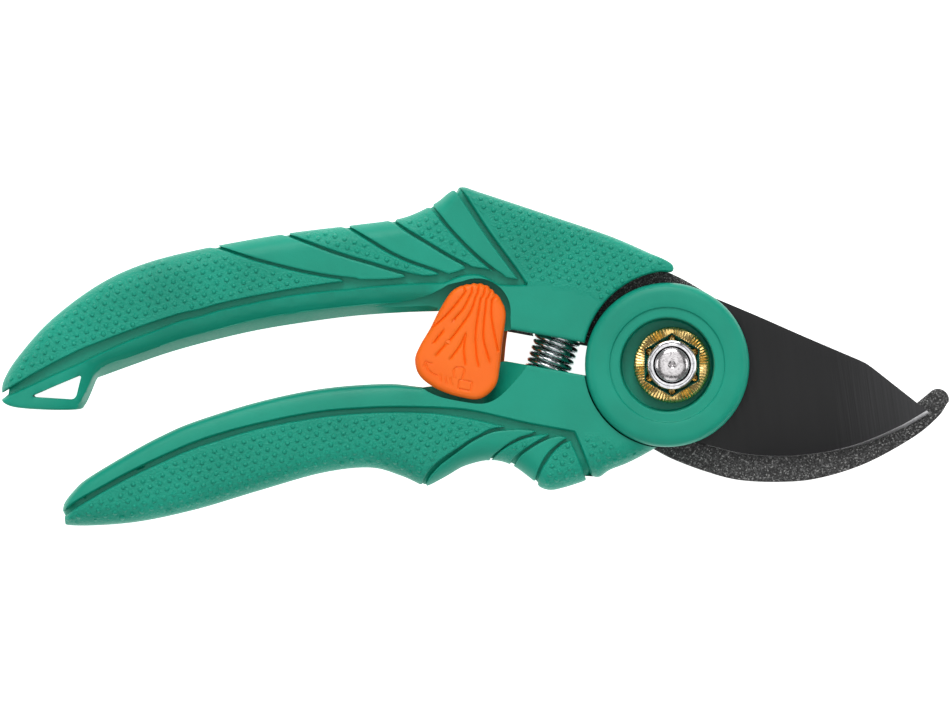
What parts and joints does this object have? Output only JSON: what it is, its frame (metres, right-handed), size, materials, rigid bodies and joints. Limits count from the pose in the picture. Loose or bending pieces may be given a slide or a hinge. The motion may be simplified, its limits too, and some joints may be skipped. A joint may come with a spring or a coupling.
{
  "type": "pruning shears",
  "caption": "Bypass pruning shears with contoured plastic handles, a black blade over a hook, a coil spring and a thumb catch, shown closed.",
  "frame": {"origin": "on the pivot axis, at the flat underside of the pivot bolt's head, where the shears rest on a table", "axes": "+X from the pivot towards the blade's tip, +Y towards the upper handle, +Z along the pivot axis out of the front face"},
  "size_m": [0.215, 0.0767, 0.0195],
  "materials": {
    "handle_nylon": "moulded green nylon, satin",
    "handle_grip": "moulded green soft-touch elastomer, dotted and smooth panels",
    "catch_nylon": "moulded orange nylon, satin",
    "blade_coating": "smooth black non-stick coating over ground steel",
    "hook_coating": "speckled dark grey powder coating",
    "steel": "plain steel",
    "spring_steel": "oiled spring steel",
    "chrome": "bright plated",
    "brass": "yellow passivated, pressed serrations"
  },
  "bodies": {
    "upper_handle": {"upper_core": "handle_nylon", "upper_grip": "handle_grip", "hook": "hook_coating", "hook_tang_pin_1": "steel", "hook_tang_pin_2": "steel", "catch_pin": "steel", "spring": "spring_steel"},
    "lower_handle": {"lower_core": "handle_nylon", "lower_grip": "handle_grip", "blade": "blade_coating", "blade_tang_pin_1": "steel", "blade_tang_pin_2": "steel", "keeper_pin": "steel", "hub_cap": "handle_nylon", "pivot_washer": "steel", "pivot_bolt": "steel", "pivot_nut": "chrome", "lock_ring": "brass"},
    "catch": {"catch_front_cover": "catch_nylon", "catch_rear_cover": "catch_nylon", "catch_web": "steel", "catch_screw": "steel"}
  },
  "joints": [
    {"name": "handle_pivot", "type": "hinge", "parent": "upper_handle", "child": "lower_handle", "pos_m": [0, 0, 0], "axis": [0, 0, 1], "range_deg": [0, 28], "stiffness_Nm_per_rad": 1.15, "springref_deg": 49.85, "deforming": ["spring"]},
    {"name": "catch_pivot", "type": "hinge", "parent": "upper_handle", "child": "catch", "pos_m": [-0.0442, 0.0119, 0.009], "axis": [0, 0, 1], "range_deg": [-35, 6]}
  ]
}
